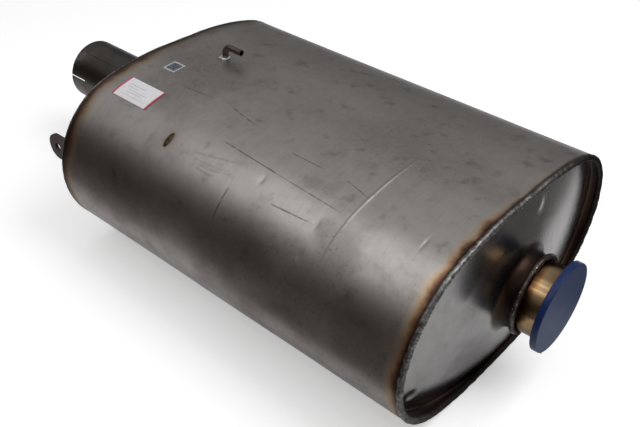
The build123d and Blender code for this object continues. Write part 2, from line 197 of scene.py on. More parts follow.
def skin(name: str, rings: list[list[Vector]], closed: bool = False) -> Piece:
    """Make a mesh object from closed rings that all have as many points.

    Args:
        name: The object's name.
        rings: The rings.
        closed: Whether the last ring joins the first.

    Returns:
        The new object.
    """
    width = len(rings[0])
    faces = []
    for number in range(len(rings) if closed else len(rings) - 1):
        first = number * width
        second = (number + 1) % len(rings) * width
        for step in range(width):
            after = (step + 1) % width
            faces.append((first + step, first + after, second + after, second + step))
    mesh = bpy.data.meshes.new(name)
    mesh.from_pydata([tuple(point) for ring in rings for point in ring], [], faces)
    mesh.update()
    piece = bpy.data.objects.new(name, mesh)
    bpy.context.scene.collection.objects.link(piece)
    return piece


def face_outwards(piece: Piece) -> None:
    """Merge doubled points and turn every face outwards."""
    make_active(piece)
    bpy.ops.object.mode_set(mode="EDIT")
    bpy.ops.mesh.select_all(action="SELECT")
    bpy.ops.mesh.remove_doubles(threshold=0.000005)
    bpy.ops.mesh.normals_make_consistent(inside=False)
    bpy.ops.object.mode_set(mode="OBJECT")


def shade(piece: Piece, angle: float = 32.0) -> None:
    """Shade faces as one where they meet at less than an angle in degrees."""
    make_active(piece)
    bpy.ops.object.shade_smooth_by_angle(angle=math.radians(angle))
    bpy.ops.object.select_all(action="DESELECT")


def thicken(piece: Piece, wall: float) -> None:
    """Give an open skin a wall on its inner side.

    Args:
        piece: The skin, with its faces outwards.
        wall: The wall's thickness.
    """
    make_active(piece)
    solid = piece.modifiers.new("wall", "SOLIDIFY")
    solid.thickness = wall
    solid.offset = -1.0
    solid.use_even_offset = True
    bpy.ops.object.modifier_apply(modifier=solid.name)


def move_points(piece: Piece, moved: Callable[[Vector], Vector]) -> None:
    """Move every point of a piece to the place that a function gives."""
    for point in piece.data.vertices:
        point.co = moved(point.co)
    piece.data.update()


@dataclass
class Graph:
    """Short names for adding and joining shader nodes in one tree."""

    tree: bpy.types.NodeTree

    def node(self, kind: str, *values: object, **settings: object) -> bpy.types.Node:
        """Add a node, set its properties and feed its inputs.

        Args:
            kind: The node's Blender type.
            values: What its first inputs get, in order, where None leaves one as it is.
            settings: Properties of the node by name.

        Returns:
            The new node.
        """
        made = self.tree.nodes.new(kind)
        for name, value in settings.items():
            setattr(made, name, value)
        for socket, value in zip(made.inputs, values):
            self.feed(socket, value)
        return made

    def feed(self, socket: Socket, value: object) -> None:
        """Join an output to a socket, or write a plain value on it.

        Args:
            socket: The input socket.
            value: An output socket, or a number, vector or colour.
        """
        if isinstance(value, bpy.types.NodeSocket):
            self.tree.links.new(value, socket)
        elif value is not None:
            socket.default_value = value

    def name_feed(self, node: bpy.types.Node, values: dict[str, object]) -> bpy.types.Node:
        """Feed a node's inputs by their names and return the node."""
        for name, value in values.items():
            self.feed(node.inputs[name], value)
        return node

    def math(self, operation: str, *values: object) -> Socket:
        """Add a Math node."""
        return self.node("ShaderNodeMath", *values, operation=operation).outputs[0]

    def vector(self, operation: str, *values: object) -> Socket:
        """Add a Vector Math node and return its value if it measures, else its vector."""
        made = self.node("ShaderNodeVectorMath", *values, operation=operation)
        return made.outputs["Value" if operation in MEASURES else "Vector"]

    def axes(self, vector: object) -> tuple[Socket, ...]:
        """Return the X, Y and Z sockets of a vector."""
        return tuple(self.node("ShaderNodeSeparateXYZ", vector).outputs)

    def between(self, value: object, low: object, high: object) -> Socket:
        """Ease a value from 0 at the low limit to 1 at the high one, clamped."""
        made = self.node("ShaderNodeMapRange", value, low, high, interpolation_type="SMOOTHSTEP")
        return made.outputs["Result"]

    def outside(self, value: object, low: object, high: object) -> Socket:
        """Return 1 below the low limit and 0 above the high one."""
        return self.math("SUBTRACT", 1.0, self.between(value, low, high))

    def mix(self, share: object, first: object, second: object) -> Socket:
        """Mix two colours.

        Args:
            share: How much of the second colour shows.
            first: The first colour.
            second: The second colour.

        Returns:
            The mixed colour's socket.
        """
        made = self.node("ShaderNodeMix", share, data_type="RGBA")
        colours = [socket for socket in (*made.inputs, *made.outputs) if socket.type == "RGBA"]
        self.feed(colours[0], first)
        self.feed(colours[1], second)
        return colours[2]

    def ramp(self, value: object, stops: tuple[tuple[float, Colour], ...]) -> Socket:
        """Turn a value into a colour.

        Args:
            value: The value, from 0 to 1.
            stops: Places and colours of the ramp.

        Returns:
            The colour's socket.
        """
        made = self.node("ShaderNodeValToRGB", value)
        elements = made.color_ramp.elements
        while len(elements) < len(stops):
            elements.new(0.5)
        for element, (place, colour) in zip(elements, stops):
            element.position = place
            element.color = colour
        return made.outputs["Color"]

    def noise(self, vector: object, scale: object, detail: float = 3.0, rough: float = 0.5) -> Socket:
        """Add a Noise Texture.

        Args:
            vector: The place on the surface.
            scale: Features per metre.
            detail: Octaves of finer noise.
            rough: Strength of the finer octaves.

        Returns:
            The value's socket.
        """
        values = {"Vector": vector, "Scale": scale, "Detail": detail, "Roughness": rough}
        return self.name_feed(self.node("ShaderNodeTexNoise"), values).outputs["Fac"]

    def use(self, group: bpy.types.NodeTree, **values: object) -> bpy.types.NodeOutputs:
        """Place a node group, feed its inputs by name and return its outputs."""
        return self.name_feed(self.node("ShaderNodeGroup", node_tree=group), values).outputs

    def place(self) -> Socket:
        """Return the socket of the place on the piece, in metres."""
        return self.node("ShaderNodeTexCoord").outputs["Object"]

    def facing(self) -> Socket:
        """Return the socket of the normal's X."""
        return self.axes(self.node("ShaderNodeNewGeometry").outputs["Normal"])[0]

    def relief(self, height: object, depth: float, strength: float = 1.0) -> Socket:
        """Bend the normal by a height, where 1 stands for a depth in metres."""
        values = {"Height": height, "Distance": depth, "Strength": strength}
        return self.name_feed(self.node("ShaderNodeBump"), values).outputs["Normal"]

    def surface(self, colour: object, roughness: object, **sockets: object) -> None:
        """Add the shader and join it to the material's output.

        Args:
            colour: The base colour.
            roughness: The roughness.
            sockets: Further inputs by name, with a low line for a space.
        """
        values = {name.replace("_", " "): value for name, value in sockets.items()}
        values |= {"Base Color": colour, "Roughness": roughness}
        shader = self.name_feed(self.node("ShaderNodeBsdfPrincipled"), values)
        self.node("ShaderNodeOutputMaterial", shader.outputs[0])


class Effects:
    """Shader node groups that several finishes share, each built once."""

    def __init__(self) -> None:
        """Build the groups."""
        self.grain = self._grain()
        self.clouds = self._clouds()
        self.heat = self._heat()
        self.scratch = self._scratch()
        self.spot = self._spot()
        self.scale = self._scale()

    @staticmethod
    def _start(
        name: str, inputs: dict[str, object], *outputs: str
    ) -> tuple[Graph, bpy.types.NodeOutputs, bpy.types.NodeInputs]:
        """Make an empty node group.

        Args:
            name: The group's name.
            inputs: Its inputs' names and defaults: a number for a value, a tuple for a vector.
            outputs: Its outputs' names: values, but for one named Color.

        Returns:
            The group's graph, the sockets of its inputs and the sockets of its outputs.
        """
        tree = bpy.data.node_groups.new(name, "ShaderNodeTree")
        for title, default in inputs.items():
            kind = Kind.VECTOR if isinstance(default, tuple) else Kind.VALUE
            socket = tree.interface.new_socket(title, in_out="INPUT", socket_type=kind.value)
            socket.default_value = default
        for title in outputs:
            kind = Kind.COLOUR if title == "Color" else Kind.VALUE
            tree.interface.new_socket(title, in_out="OUTPUT", socket_type=kind.value)
        graph = Graph(tree)
        return graph, graph.node("NodeGroupInput").outputs, graph.node("NodeGroupOutput").inputs

    def _grain(self) -> bpy.types.NodeTree:
        """Build fine rolled lines that run across the pipe axis."""
        inputs = {"Vector": ORIGIN, "Lines": 420.0, "Run": 9.0}
        graph, given, out = self._start("rolled grain", inputs, "Value")
        stretch = graph.node("ShaderNodeCombineXYZ", given["Lines"], given["Run"], given["Run"])
        place = graph.vector("MULTIPLY", given["Vector"], stretch.outputs[0])
        graph.feed(out["Value"], graph.noise(place, 1.0, 4.0, 0.6))
        return graph.tree

    def _clouds(self) -> bpy.types.NodeTree:
        """Build soft patches such as handling marks."""
        inputs = {"Vector": ORIGIN, "Scale": 8.0, "Low": 0.45, "High": 0.65}
        graph, given, out = self._start("cloudy marks", inputs, "Mask")
        value = graph.noise(given["Vector"], given["Scale"], 5.0, 0.6)
        graph.feed(out["Mask"], graph.between(value, given["Low"], given["High"]))
        return graph.tree

    def _heat(self) -> bpy.types.NodeTree:
        """Build the heat colours beside a weld, from scale through gold to bare metal."""
        inputs = {"Vector": ORIGIN, "Distance": 1.0, "Reach": 0.02, "Uneven": 0.3, "Strength": 1.0}
        graph, given, out = self._start("heat tint", inputs, "Color", "Mask")
        slow = graph.noise(given["Vector"], 26.0)
        fine = graph.noise(given["Vector"], 120.0)
        sway = graph.math("MULTIPLY_ADD", fine, 0.2, slow)
        sway = graph.math("MULTIPLY", graph.math("SUBTRACT", sway, 0.6), given["Uneven"])
        share = graph.math("ADD", graph.math("DIVIDE", given["Distance"], given["Reach"]), sway)
        colour = graph.ramp(
            share,
            (
                (0.0, rgb(0.030, 0.018, 0.013)),
                (0.15, rgb(0.075, 0.036, 0.020)),
                (0.30, rgb(0.205, 0.098, 0.042)),
                (0.48, rgb(0.420, 0.275, 0.130)),
                (0.75, rgb(0.450, 0.385, 0.285)),
            ),
        )
        graph.feed(out["Color"], colour)
        graph.feed(out["Mask"], graph.math("MULTIPLY", graph.outside(share, 0.10, 1.0), given["Strength"]))
        return graph.tree

    def _scratch(self) -> bpy.types.NodeTree:
        """Build a thin line between two points seen from above, bowed by its sag."""
        inputs = {"Vector": ORIGIN, "Start": ORIGIN, "End": (0.1, 0.0, 0.0), "Width": 0.001, "Sag": 0.0}
        graph, given, out = self._start("scratch", inputs, "Mask")
        flat = graph.vector("MULTIPLY", given["Vector"], (1.0, 1.0, 0.0))
        run = graph.vector("SUBTRACT", given["End"], given["Start"])
        here = graph.vector("SUBTRACT", flat, given["Start"])
        along = graph.vector("DOT_PRODUCT", here, run)
        along = graph.math("DIVIDE", along, graph.vector("DOT_PRODUCT", run, run))
        share = graph.node("ShaderNodeClamp", along).outputs[0]
        bow = graph.math("MULTIPLY", share, graph.math("SUBTRACT", 1.0, share))
        bow = graph.math("MULTIPLY", bow, graph.math("MULTIPLY", given["Sag"], 4.0))
        bend = graph.node("ShaderNodeCombineXYZ", None, bow).outputs[0]
        foot = graph.vector("SCALE", run, None, None, share)
        distance = graph.vector("DISTANCE", here, graph.vector("ADD", foot, bend))
        broken = graph.noise(given["Vector"], 90.0)
        width = graph.math("MULTIPLY", given["Width"], graph.math("ADD", broken, 0.6))
        ends = graph.math("MULTIPLY", graph.between(share, 0.0, 0.04), graph.outside(share, 0.7, 1.0))
        line = graph.math("MULTIPLY", graph.outside(distance, 0.0, width), ends)
        graph.feed(out["Mask"], graph.math("MULTIPLY", line, graph.between(broken, 0.2, 0.6)))
        return graph.tree

    def _spot(self) -> bpy.types.NodeTree:
        """Build a round or stretched spot that fades from its centre."""
        inputs = {"Vector": ORIGIN, "Centre": ORIGIN, "Size": (0.01, 0.01, 0.01)}
        graph, given, out = self._start("spot", inputs, "Mask")
        off = graph.vector("SUBTRACT", given["Vector"], given["Centre"])
        length = graph.vector("LENGTH", graph.vector("DIVIDE", off, given["Size"]))
        graph.feed(out["Mask"], graph.outside(length, 0.0, 1.0))
        return graph.tree

    def _scale(self) -> bpy.types.NodeTree:
        """Build the dark scale and bright specks of a weld bead."""
        inputs = {"Vector": ORIGIN, "Patches": 120.0}
        graph, given, out = self._start("weld scale", inputs, "Dark", "Bright", "Height")
        patches = graph.noise(given["Vector"], given["Patches"], 4.0, 0.6)
        graph.feed(out["Dark"], graph.between(patches, 0.42, 0.62))
        specks = graph.noise(given["Vector"], 420.0, 2.0, 0.6)
        graph.feed(out["Bright"], graph.between(specks, 0.60, 0.72))
        graph.feed(out["Height"], graph.noise(given["Vector"], 900.0, 3.0, 0.6))
        return graph.tree


def blank(name: str) -> tuple[bpy.types.Material, Graph]:
    """Return a new material without nodes, and its graph."""
    material = bpy.data.materials.new(name)
    material.use_nodes = True
    material.node_tree.nodes.clear()
    return material, Graph(material.node_tree)


@dataclass
class Layers:
    """A metal's material on the way: the values that its shader takes, changed layer by layer."""

    material: bpy.types.Material
    graph: Graph
    effects: Effects
    place: Socket
    colour: object
    roughness: object
    height: object = 0.0

    def clouds(self, scale: float, low: float = 0.45, high: float = 0.65) -> Socket:
        """Return a mask of soft patches."""
        group = self.effects.clouds
        return self.graph.use(group, Vector=self.place, Scale=scale, Low=low, High=high)[0]

    def cover(self, mask: object, colour: object, share: float = 1.0) -> None:
        """Lay a colour over the metal where a mask is 1, or a share of it."""
        self.colour = self.graph.mix(self.graph.math("MULTIPLY", mask, share), self.colour, colour)

    def roughen(self, mask: object, amount: float) -> None:
        """Add to the roughness where a mask is 1."""
        self.roughness = self.graph.math("MULTIPLY_ADD", mask, amount, self.roughness)

    def raise_by(self, mask: object, amount: float) -> None:
        """Add to the relief where a mask is 1."""
        self.height = self.graph.math("MULTIPLY_ADD", mask, amount, self.height)

    def spot(self, centre: Point, size: Point, colour: Colour, share: float) -> None:
        """Lay on a spot of a colour."""
        mask = self.graph.use(self.effects.spot, Vector=self.place, Centre=centre, Size=size)[0]
        self.cover(mask, colour, share)

    def tint(self, off: object, reach: object, uneven: float, strength: object = 1.0) -> None:
        """Lay on the heat colours beside a weld.

        Args:
            off: The distance from the weld.
            reach: How far the colours run.
            uneven: How much their edge sways.
            strength: How much of them shows.
        """
        heat = self.graph.use(
            self.effects.heat,
            Vector=self.place,
            Distance=off,
            Reach=reach,
            Uneven=uneven,
            Strength=strength,
        )
        self.cover(heat["Mask"], heat["Color"])

    def finish(self, depth: float) -> bpy.types.Material:
        """Put the shader on, where a relief of 1 stands for a depth, and return the material."""
        normal = self.graph.relief(self.height, depth)
        self.graph.surface(self.colour, self.roughness, Metallic=1.0, Normal=normal)
        return self.material


@dataclass(frozen=True)
class Metal:
    """A satin metal: its colours, its gloss and how strong its grain and marks are."""

    name: str
    base: Colour
    dark: Colour
    roughness: float = 0.34
    relief: float = 0.10
    marks: float = 9.0
    lines: float = 420.0
    run: float = 9.0
    uneven: float = 0.10
    broad_share: float = 0.45
    fine_share: float = 0.16
    streak_share: float = 1.1

    def start(self, effects: Effects) -> Layers:
        """Start the material.

        Args:
            effects: The shared node groups.

        Returns:
            The material's layers.
        """
        material, graph = blank(self.name)
        layers = Layers(material, graph, effects, graph.place(), self.base, self.roughness)
        grain = graph.use(effects.grain, Vector=layers.place, Lines=self.lines, Run=self.run)[0]
        broad = layers.clouds(self.marks)
        layers.cover(broad, self.dark, self.broad_share)
        layers.cover(layers.clouds(self.marks * 7), self.dark, self.fine_share)
        streak = graph.math("ABSOLUTE", graph.math("SUBTRACT", grain, 0.5))
        layers.cover(streak, self.dark, self.streak_share)
        layers.roughen(broad, self.uneven)
        layers.roughen(grain, self.uneven)
        layers.raise_by(grain, self.relief)
        return layers


@dataclass(frozen=True)
class Weld:
    """A weld metal with dark scale and bright specks, and with soot and painted shade on the far side and
    below if asked.
    """

    name: str
    base: Colour
    dark: Colour
    bright: Colour
    roughness: float = 0.34
    patches: float = 120.0
    speckle: float = 0.8
    soot_and_painted_shade: bool = False

    def dressing(self, effects: Effects) -> bpy.types.Material:
        """Return the weld's material.

        Args:
            effects: The shared node groups.

        Returns:
            The material.
        """
        metal = Metal(self.name, self.base, self.dark, self.roughness, relief=0.0, marks=40.0)
        layers = metal.start(effects)
        graph = layers.graph
        scale = graph.use(effects.scale, Vector=layers.place, Patches=self.patches)
        layers.cover(scale["Dark"], self.dark, 0.85)
        layers.cover(scale["Bright"], self.bright, self.speckle)
        # Soot and painted shade: darkens the bead on its far side (+Y) and near the floor.
        if self.soot_and_painted_shade:
            _, across, height = graph.axes(layers.place)
            far = graph.between(across, 0.02, 0.16)
            far_low_shade = graph.math("MAXIMUM", far, graph.outside(height, 0.01, 0.06))
            layers.cover(far_low_shade, rgb(0.022, 0.014, 0.012), 0.93)
            layers.roughen(far_low_shade, 0.15)
        layers.raise_by(scale["Height"], 0.35)
        return layers.finish(0.0006)


@dataclass
class Workshop:
    """What every sub-assembly needs to place and dress its pieces."""

    frame: dict[str, object]
    effects: Effects

    def dress(self, name: str, material: bpy.types.Material) -> None:
        """Give a CAD node a material.

        Args:
            name: The node.
            material: Its material.
        """
        node = self.frame["nodes"][name]
        if not node.material_slots:
            node.data.materials.append(material)
        for held in node.material_slots:
            held.material = material
        LOG.info("%s wears %s", name, material.name)

    def fit(self, piece: Piece, material: bpy.types.Material, slot: str, *nodes: str) -> None:
        """Put a finished piece on the silencer.

        Args:
            piece: The piece.
            material: Its material.
            slot: Not used.
            nodes: The CAD nodes that it stands for.
        """
        piece.data.materials.clear()
        piece.data.materials.append(material)
        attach(piece, BODY)
        if nodes:
            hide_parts(*nodes)
        LOG.info("%s: %d faces, wears %s", piece.name, len(piece.data.polygons), material.name)


@dataclass(frozen=True)
class Dent:
    """A pressed place on the top of the shell: its centre, its size and how deep it is."""

    x: float
    y: float
    along: float
    around: float
    depth: float

    def press(self, place: Vector, slope: float) -> float:
        """Return how deep it presses a place on a sheet whose normal's Z is the slope."""
        off_y = (place.y - self.y) / max(slope, 0.35)
        far = ((place.x - self.x) / self.along) ** 2 + (off_y / self.around) ** 2
        return self.depth * math.exp(-2.2 * far) if abs(place.x - self.x) < 2 * self.along else 0.0


@dataclass(frozen=True)
class Scratch:
    """A line on the top of the shell between two points, bowed sideways by its sag."""

    start: tuple[float, float]
    end: tuple[float, float]
    width: float
    sag: float = 0.0

    def mask(self, layers: Layers) -> Socket:
        """Return where the line runs on the shell's upper side.

        Args:
            layers: The shell's layers.

        Returns:
            The mask's socket.
        """
        graph = layers.graph
        line = graph.use(
            layers.effects.scratch,
            Vector=layers.place,
            Start=(*self.start, 0.0),
            End=(*self.end, 0.0),
            Width=self.width,
            Sag=self.sag,
        )[0]
        return graph.math("MULTIPLY", line, graph.between(graph.axes(layers.place)[2], 0.15, 0.16))


@dataclass
class Shell:
    """The rolled oval shell with its crease, dents, scratches and heat tint."""

    spacing: float = 0.005
    station_step: float = 0.008
    least_step: float = 0.0004
    waviness: float = 0.00035
    wave_scale: float = 7.0
    ripple_scale: float = 17.0
    stiff_edge: float = 0.04
    plug_centre: Point = (-0.133, -0.1888, 0.2533)
    tap_foot: Point = (-0.216, 0.0, 0.284)
    dents: tuple[Dent, ...] = (
        Dent(-0.167, -0.1977, 0.006, 0.008, 0.0004),
        Dent(0.034, -0.178, 0.006, 0.007, 0.0010),
        Dent(0.139, -0.192, 0.007, 0.008, 0.0011),
        Dent(0.1715, -0.131, 0.004, 0.005, -0.0004),
        Dent(0.2675, -0.1535, 0.0035, 0.015, 0.0009),
        Dent(0.139, -0.2235, 0.008, 0.010, 0.0006),
        Dent(0.2275, -0.093, 0.003, 0.012, 0.0003),
        Dent(0.050, -0.240, 0.030, 0.040, 0.0010),
        Dent(-0.060, -0.060, 0.070, 0.060, 0.0008),
        Dent(0.120, 0.090, 0.080, 0.060, 0.0007),
    )
    ridge_station: float = 0.171
    ridge_start: float = -0.226
    ridge_end: float = -0.004
    ridge_height: float = 0.00065
    ridge_half_width: float = 0.0017
    seam_station: float = -0.005
    seam_top: float = -0.185
    seam_depth: float = 0.00012
    seam_half_width: float = 0.0013
    scratches: tuple[Scratch, ...] = (
        Scratch((-0.0575, -0.1555), (0.080, -0.164), 0.0013),
        Scratch((0.060, -0.1630), (0.165, -0.168), 0.0010),
        Scratch((0.0345, -0.1230), (0.096, -0.1232), 0.0010),
        Scratch((0.0660, -0.1965), (0.141, -0.1935), 0.0013),
        Scratch((-0.197, -0.102), (-0.141, -0.097), 0.0014),
        Scratch((-0.1065, -0.096), (-0.040, -0.109), 0.0011),
        Scratch((0.1275, -0.1225), (0.175, -0.1335), 0.0008),
        Scratch((-0.0016, -0.2021), (-0.0035, -0.236), 0.0016),
    )
    wipes: tuple[Scratch, ...] = (
        Scratch((-0.0850, -0.1862), (-0.0020, -0.1715), 0.0026, -0.0010),
        Scratch((-0.0790, -0.1929), (-0.0100, -0.1865), 0.0024, -0.0020),
        Scratch((-0.0710, -0.1961), (-0.0070, -0.1894), 0.0024, -0.0025),
        Scratch((-0.0660, -0.2007), (-0.0280, -0.2003), 0.0022, -0.0010),
    )

    def _stations(self) -> list[float]:
        """Return the X of each ring of points, closer together where the shell is shaped."""
        count = round(2 * RIM / self.station_step)
        found = {round(-RIM + 2 * RIM * step / count, 5) for step in range(count + 1)}
        fine = [(self.ridge_station, 0.006, 0.0007), (self.seam_station, 0.003, 0.0010)]
        fine += [(dent.x, dent.along, dent.along / 5) for dent in self.dents if dent.along < 0.02]
        for middle, half, step in fine:
            steps = math.ceil(half / step)
            found |= {round(middle + half * number / steps, 5) for number in range(-steps, steps + 1)}
        kept: list[float] = []
        for station in sorted(found):
            if not kept or station - kept[-1] > self.least_step:
                kept.append(station)
        kept[-1] = RIM
        return kept

    def _pressed(self, place: Vector, out: Vector) -> float:
        """Return how far a point of the sheet lies inside the plain oval.

        Args:
            place: The point on the plain oval.
            out: The outward normal there.

        Returns:
            The depth.
        """
        ripple = noise.noise(place * self.ripple_scale + Vector((3.0, 1.0, 5.0)))
        wave = noise.noise(place * self.wave_scale) + 0.4 * ripple
        edge = min(1.0, (RIM - abs(place.x)) / self.stiff_edge)
        depth = self.waviness * (1.0 + wave) * edge
        if out.z < 0.0:
            return depth
        depth += sum(dent.press(place, out.z) for dent in self.dents)
        fade = clamp((place.y - self.ridge_start) / 0.03) * clamp((self.ridge_end - place.y) / 0.09)
        off = (place.x - self.ridge_station) / self.ridge_half_width
        step_in = 1.0 / (1.0 + math.exp(-off * 2))
        depth += self.ridge_height * fade * (0.45 * step_in * edge - math.exp(-(off**2)))
        low = clamp((self.seam_top - place.y) / 0.02)
        off = (place.x - self.seam_station) / self.seam_half_width
        return depth + self.seam_depth * low * math.exp(-(off**2))

    def build(self) -> Piece:
        """Model the shell's sheet.

        Returns:
            The shell.
        """
        outline = Oval().points(self.spacing)
        rings = []
        for station in self._stations():
            ring = []
            for place, out in outline:
                here = Vector((station, place.y, place.z))
                ring.append(here - out * self._pressed(here, out))
            rings.append(ring)
        piece = skin("shell_skin", rings)
        face_outwards(piece)
        thicken(piece, SHEET)
        shade(piece)
        return piece

    def dressing(self, effects: Effects) -> bpy.types.Material:
        """Return the shell's material.

        Args:
            effects: The shared node groups.

        Returns:
            The material.
        """
        metal = Metal("satin stainless shell", rgb(0.375, 0.352, 0.335), rgb(0.235, 0.215, 0.203))
        layers = metal.start(effects)
        for scratch in self.scratches:
            line = scratch.mask(layers)
            layers.cover(line, rgb(0.075, 0.064, 0.058), 0.9)
            layers.raise_by(line, -0.25)
        for wipe in self.wipes:
            layers.cover(wipe.mask(layers), rgb(0.10, 0.088, 0.080), 0.32)
        self._stain(layers)
        self._tint(layers)
        return layers.finish(0.0004)

    def _stain(self, layers: Layers) -> None:
        """Lay on the marks, the plug weld's halo, the tap's dull foot and a brown painted dark reflection
        band along both sides.

        Args:
            layers: The shell's layers.
        """
        graph = layers.graph
        _, across, height = graph.axes(layers.place)
        broad = layers.clouds(4.5, 0.42, 0.62)
        layers.cover(broad, rgb(0.205, 0.172, 0.152), 0.30)
        freckles = graph.math("MULTIPLY", layers.clouds(190.0, 0.56, 0.69), broad)
        layers.cover(freckles, rgb(0.110, 0.078, 0.060), 0.50)
        smears = layers.clouds(38.0, 0.55, 0.72)
        layers.cover(smears, rgb(0.165, 0.142, 0.130), 0.42)
        layers.roughen(smears, -0.05)
        layers.spot(self.plug_centre, (0.015, 0.026, 0.022), rgb(0.290, 0.230, 0.175), 0.7)
        layers.spot(self.plug_centre, (0.0095, 0.0185, 0.016), rgb(0.085, 0.050, 0.030), 0.95)
        layers.spot(self.tap_foot, (0.016, 0.018, 0.016), rgb(0.16, 0.13, 0.11), 0.6)
        # Painted reflection: an uneven brown dark band along both sides of the shell at axis height.
        side = graph.between(graph.math("ABSOLUTE", across), 0.205, 0.243)
        side = graph.math("MULTIPLY", side, graph.between(height, 0.105, 0.150))
        painted_reflection_share = graph.math("MULTIPLY_ADD", layers.clouds(7.0, 0.35, 0.62), 0.35, 0.25)
        layers.cover(graph.math("MULTIPLY", painted_reflection_share, side), rgb(0.13, 0.098, 0.082))

    @staticmethod
    def _tint(layers: Layers) -> None:
        """Lay on the heat tint beside both rims, and a brown one beside the inlet's, the last.

        Args:
            layers: The shell's layers.
        """
        graph = layers.graph
        along, across, _ = graph.axes(layers.place)
        low = graph.outside(across, -0.10, 0.02)
        strength = graph.math("MULTIPLY_ADD", low, 0.45, 0.52)
        for end, least, scale_reach in ((End.OUTLET, 0.013, 0.0062), (End.INLET, 0.020, 0.012)):
            off = graph.math("MULTIPLY", graph.math("SUBTRACT", along, end.value * RIM), -end.value)
            layers.tint(off, graph.math("MULTIPLY_ADD", low, 0.012, least), 0.85, strength)
            layers.cover(graph.outside(off, 0.0015, scale_reach), rgb(0.036, 0.022, 0.016), 0.9)
        layers.cover(graph.outside(off, 0.004, 0.030), rgb(0.085, 0.060, 0.048), 0.5)


